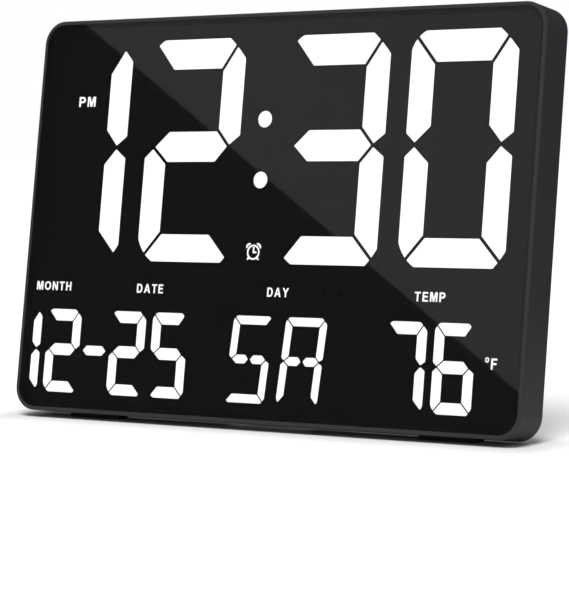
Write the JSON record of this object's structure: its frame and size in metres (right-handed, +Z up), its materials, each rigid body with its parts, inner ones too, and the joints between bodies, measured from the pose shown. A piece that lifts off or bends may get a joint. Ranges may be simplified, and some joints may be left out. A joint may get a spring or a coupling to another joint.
{
  "type": "digital calendar clock",
  "caption": "Large wall or desk clock: black case with smoked lens over segment digits for time, date, day and temperature, keys and keyholes on the back, and a fold-out stand.",
  "frame": {"origin": "on the floor under the middle of the clock as it stands on its open stand", "axes": "+X to the clock's right as seen from the front, +Y to its back, +Z up; the front faces -Y and leans back"},
  "size_m": [0.385, 0.0714, 0.2618],
  "materials": {
    "case_black": "fine moulded grain, satin",
    "lens_smoke": "polished smoked acrylic sheet",
    "box_black": "matt",
    "segment_white": "milky diffuser, lit from behind",
    "segment_dark": "smoky diffuser, not lit",
    "lamp_white": "moulded lamp",
    "board_green": "lacquered board",
    "chip_black": "moulded",
    "sensor_clear": "clear moulded resin",
    "steel": "bright",
    "spacer_nylon": "nylon",
    "capacitor_sleeve": "shrunk sleeve",
    "contact_brass": "spring leaf",
    "door_black": "satin",
    "stand_black": "fine moulded grain, satin",
    "rubber_black": "soft",
    "key_grey": "satin",
    "plunger_white": "moulded"
  },
  "bodies": {
    "clock": {"front_housing": "case_black", "back_cover": "case_black", "front_lens": "lens_smoke", "light_box": "box_black", "time_segments_lit": "segment_white", "colon_dots": "segment_white", "date_segments_lit": "segment_white", "day_segments_lit": "segment_white", "temp_segments_lit": "segment_white", "time_segments_unlit": "segment_dark", "date_segments_unlit": "segment_dark", "day_segments_unlit": "segment_dark", "temp_segments_unlit": "segment_dark", "caption_plates": "segment_dark", "segment_lamps": "lamp_white", "lamp_board": "board_green", "main_board": "board_green", "driver_chips": "chip_black", "controller_chip": "chip_black", "voltage_regulator": "chip_black", "board_header": "chip_black", "buzzer": "chip_black", "ir_receiver": "chip_black", "switch_bases": "chip_black", "coin_cell_holder": "chip_black", "dc_jack": "chip_black", "light_sensor": "sensor_clear", "temp_sensor": "sensor_clear", "display_screws": "steel", "main_board_screws": "steel", "cover_screws": "steel", "clock_crystal": "steel", "dc_jack_pin": "steel", "coin_cell": "steel", "stand_pins": "steel", "board_spacers": "spacer_nylon", "capacitors": "capacitor_sleeve", "cell_contacts": "contact_brass", "foot_left": "rubber_black", "foot_right": "rubber_black"},
    "stand": {"stand": "stand_black", "stand_pad": "rubber_black"},
    "battery_door": {"battery_door": "door_black"},
    "mode_key": {"key_mode": "key_grey", "plunger_mode": "plunger_white"},
    "alarm_key": {"key_alarm": "key_grey", "plunger_alarm": "plunger_white"},
    "up_key": {"key_up": "key_grey", "plunger_up": "plunger_white"},
    "down_key": {"key_down": "key_grey", "plunger_down": "plunger_white"},
    "light_key": {"key_light": "key_grey", "plunger_light": "plunger_white"}
  },
  "joints": [
    {"name": "stand_fold", "type": "hinge", "parent": "clock", "child": "stand", "pos_m": [0, 0.00637, 0.11677], "axis": [-1, 0, 0], "range_deg": [0, 18]},
    {"name": "battery_door_turn", "type": "hinge", "parent": "clock", "child": "battery_door", "pos_m": [-0.064, 0.01813, 0.16911], "axis": [0, -0.9848, 0.1736], "range_deg": [0, 50]},
    {"name": "mode_press", "type": "slide", "parent": "clock", "child": "mode_key", "axis": [0, -0.9848, 0.1736], "range_m": [0, 0.0005], "stiffness_N_per_m": 1500},
    {"name": "alarm_press", "type": "slide", "parent": "clock", "child": "alarm_key", "axis": [0, -0.9848, 0.1736], "range_m": [0, 0.0005], "stiffness_N_per_m": 1500},
    {"name": "up_press", "type": "slide", "parent": "clock", "child": "up_key", "axis": [0, -0.9848, 0.1736], "range_m": [0, 0.0005], "stiffness_N_per_m": 1500},
    {"name": "down_press", "type": "slide", "parent": "clock", "child": "down_key", "axis": [0, -0.9848, 0.1736], "range_m": [0, 0.0005], "stiffness_N_per_m": 1500},
    {"name": "light_press", "type": "slide", "parent": "clock", "child": "light_key", "axis": [0, -0.9848, 0.1736], "range_m": [0, 0.0005], "stiffness_N_per_m": 1500}
  ]
}
